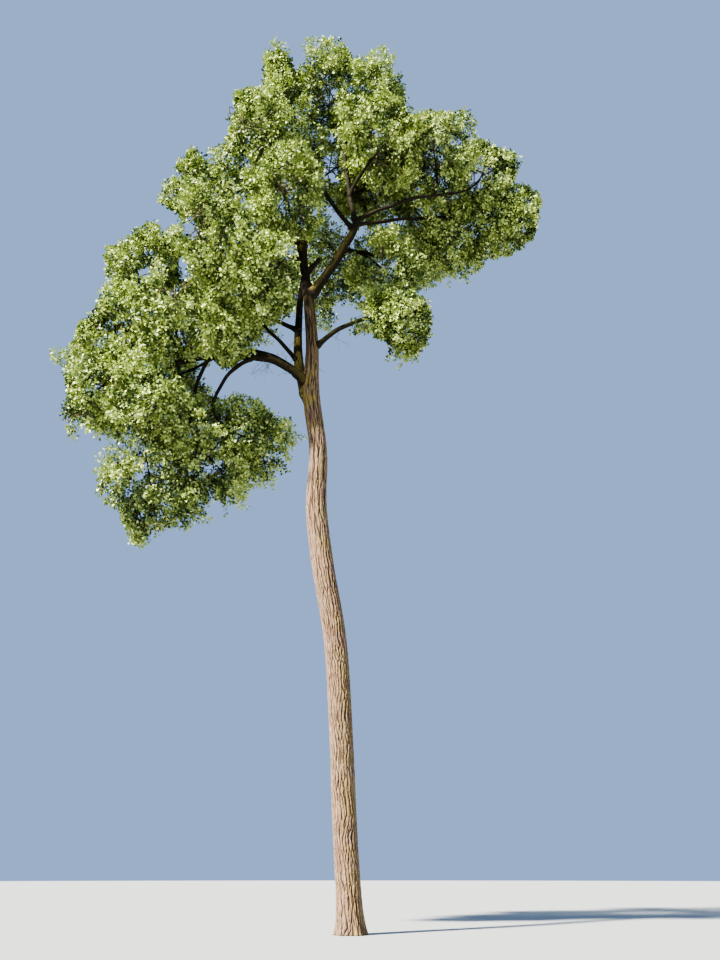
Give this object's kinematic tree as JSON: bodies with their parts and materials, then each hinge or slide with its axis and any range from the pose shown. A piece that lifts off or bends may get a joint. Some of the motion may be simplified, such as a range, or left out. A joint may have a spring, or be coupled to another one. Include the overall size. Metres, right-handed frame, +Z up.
{
  "type": "poplar tree",
  "caption": "Tall poplar with a leaning furrowed trunk, a high forked crown and a drooping side of lower boughs, flat-cut at ground level.",
  "frame": {"origin": "middle of the flat cut under the trunk, at ground level", "axes": "+Z up, +X towards the short side of the crown and -X towards the long drooping side, -Y towards the side the open limbs are seen from"},
  "size_m": [16.8585, 9.9558, 31.7967],
  "materials": {
    "bark": "rough",
    "foliage": "satin"
  },
  "bodies": {
    "root": {"trunk": "bark", "stem_left": "bark", "arm_left": "bark", "arm_right": "bark", "stub_broken": "bark", "crown_leader": "bark", "crown_left": "bark", "limb_right_upper": "bark", "limb_right_lower": "bark", "limb_right_low": "bark", "limb_left_lower": "bark", "limb_left_lower_outer": "bark", "limb_droop": "bark", "limb_fall": "bark", "limb_left_drop": "bark", "limb_left_upper": "bark", "limb_left_upper_outer": "bark", "limb_left_high": "bark", "limb_left_far": "bark", "limb_front_low": "bark", "limb_front": "bark", "limb_knob": "bark", "limb_riser": "bark", "limb_back": "bark", "limb_back_left": "bark", "limb_back_right": "bark", "limb_back_low": "bark", "foliage_top": "foliage", "foliage_top_left": "foliage", "foliage_top_right": "foliage", "foliage_top_back": "foliage", "foliage_upper_left": "foliage", "foliage_centre_high": "foliage", "foliage_centre_left": "foliage", "foliage_centre_front": "foliage", "foliage_centre_low": "foliage", "foliage_front_low": "foliage", "foliage_window": "foliage", "foliage_right_inner": "foliage", "foliage_right": "foliage", "foliage_right_outer": "foliage", "foliage_right_tip": "foliage", "foliage_right_under": "foliage", "foliage_right_low": "foliage", "foliage_right_back": "foliage", "foliage_right_mid": "foliage", "foliage_left_high": "foliage", "foliage_left_inner": "foliage", "foliage_left_far": "foliage", "foliage_left_tip": "foliage", "foliage_left_drop": "foliage", "foliage_left_lowest": "foliage", "foliage_fall": "foliage", "foliage_droop": "foliage", "foliage_back": "foliage", "foliage_back_left": "foliage", "foliage_back_right": "foliage", "foliage_back_low": "foliage"}
  },
  "joints": []
}
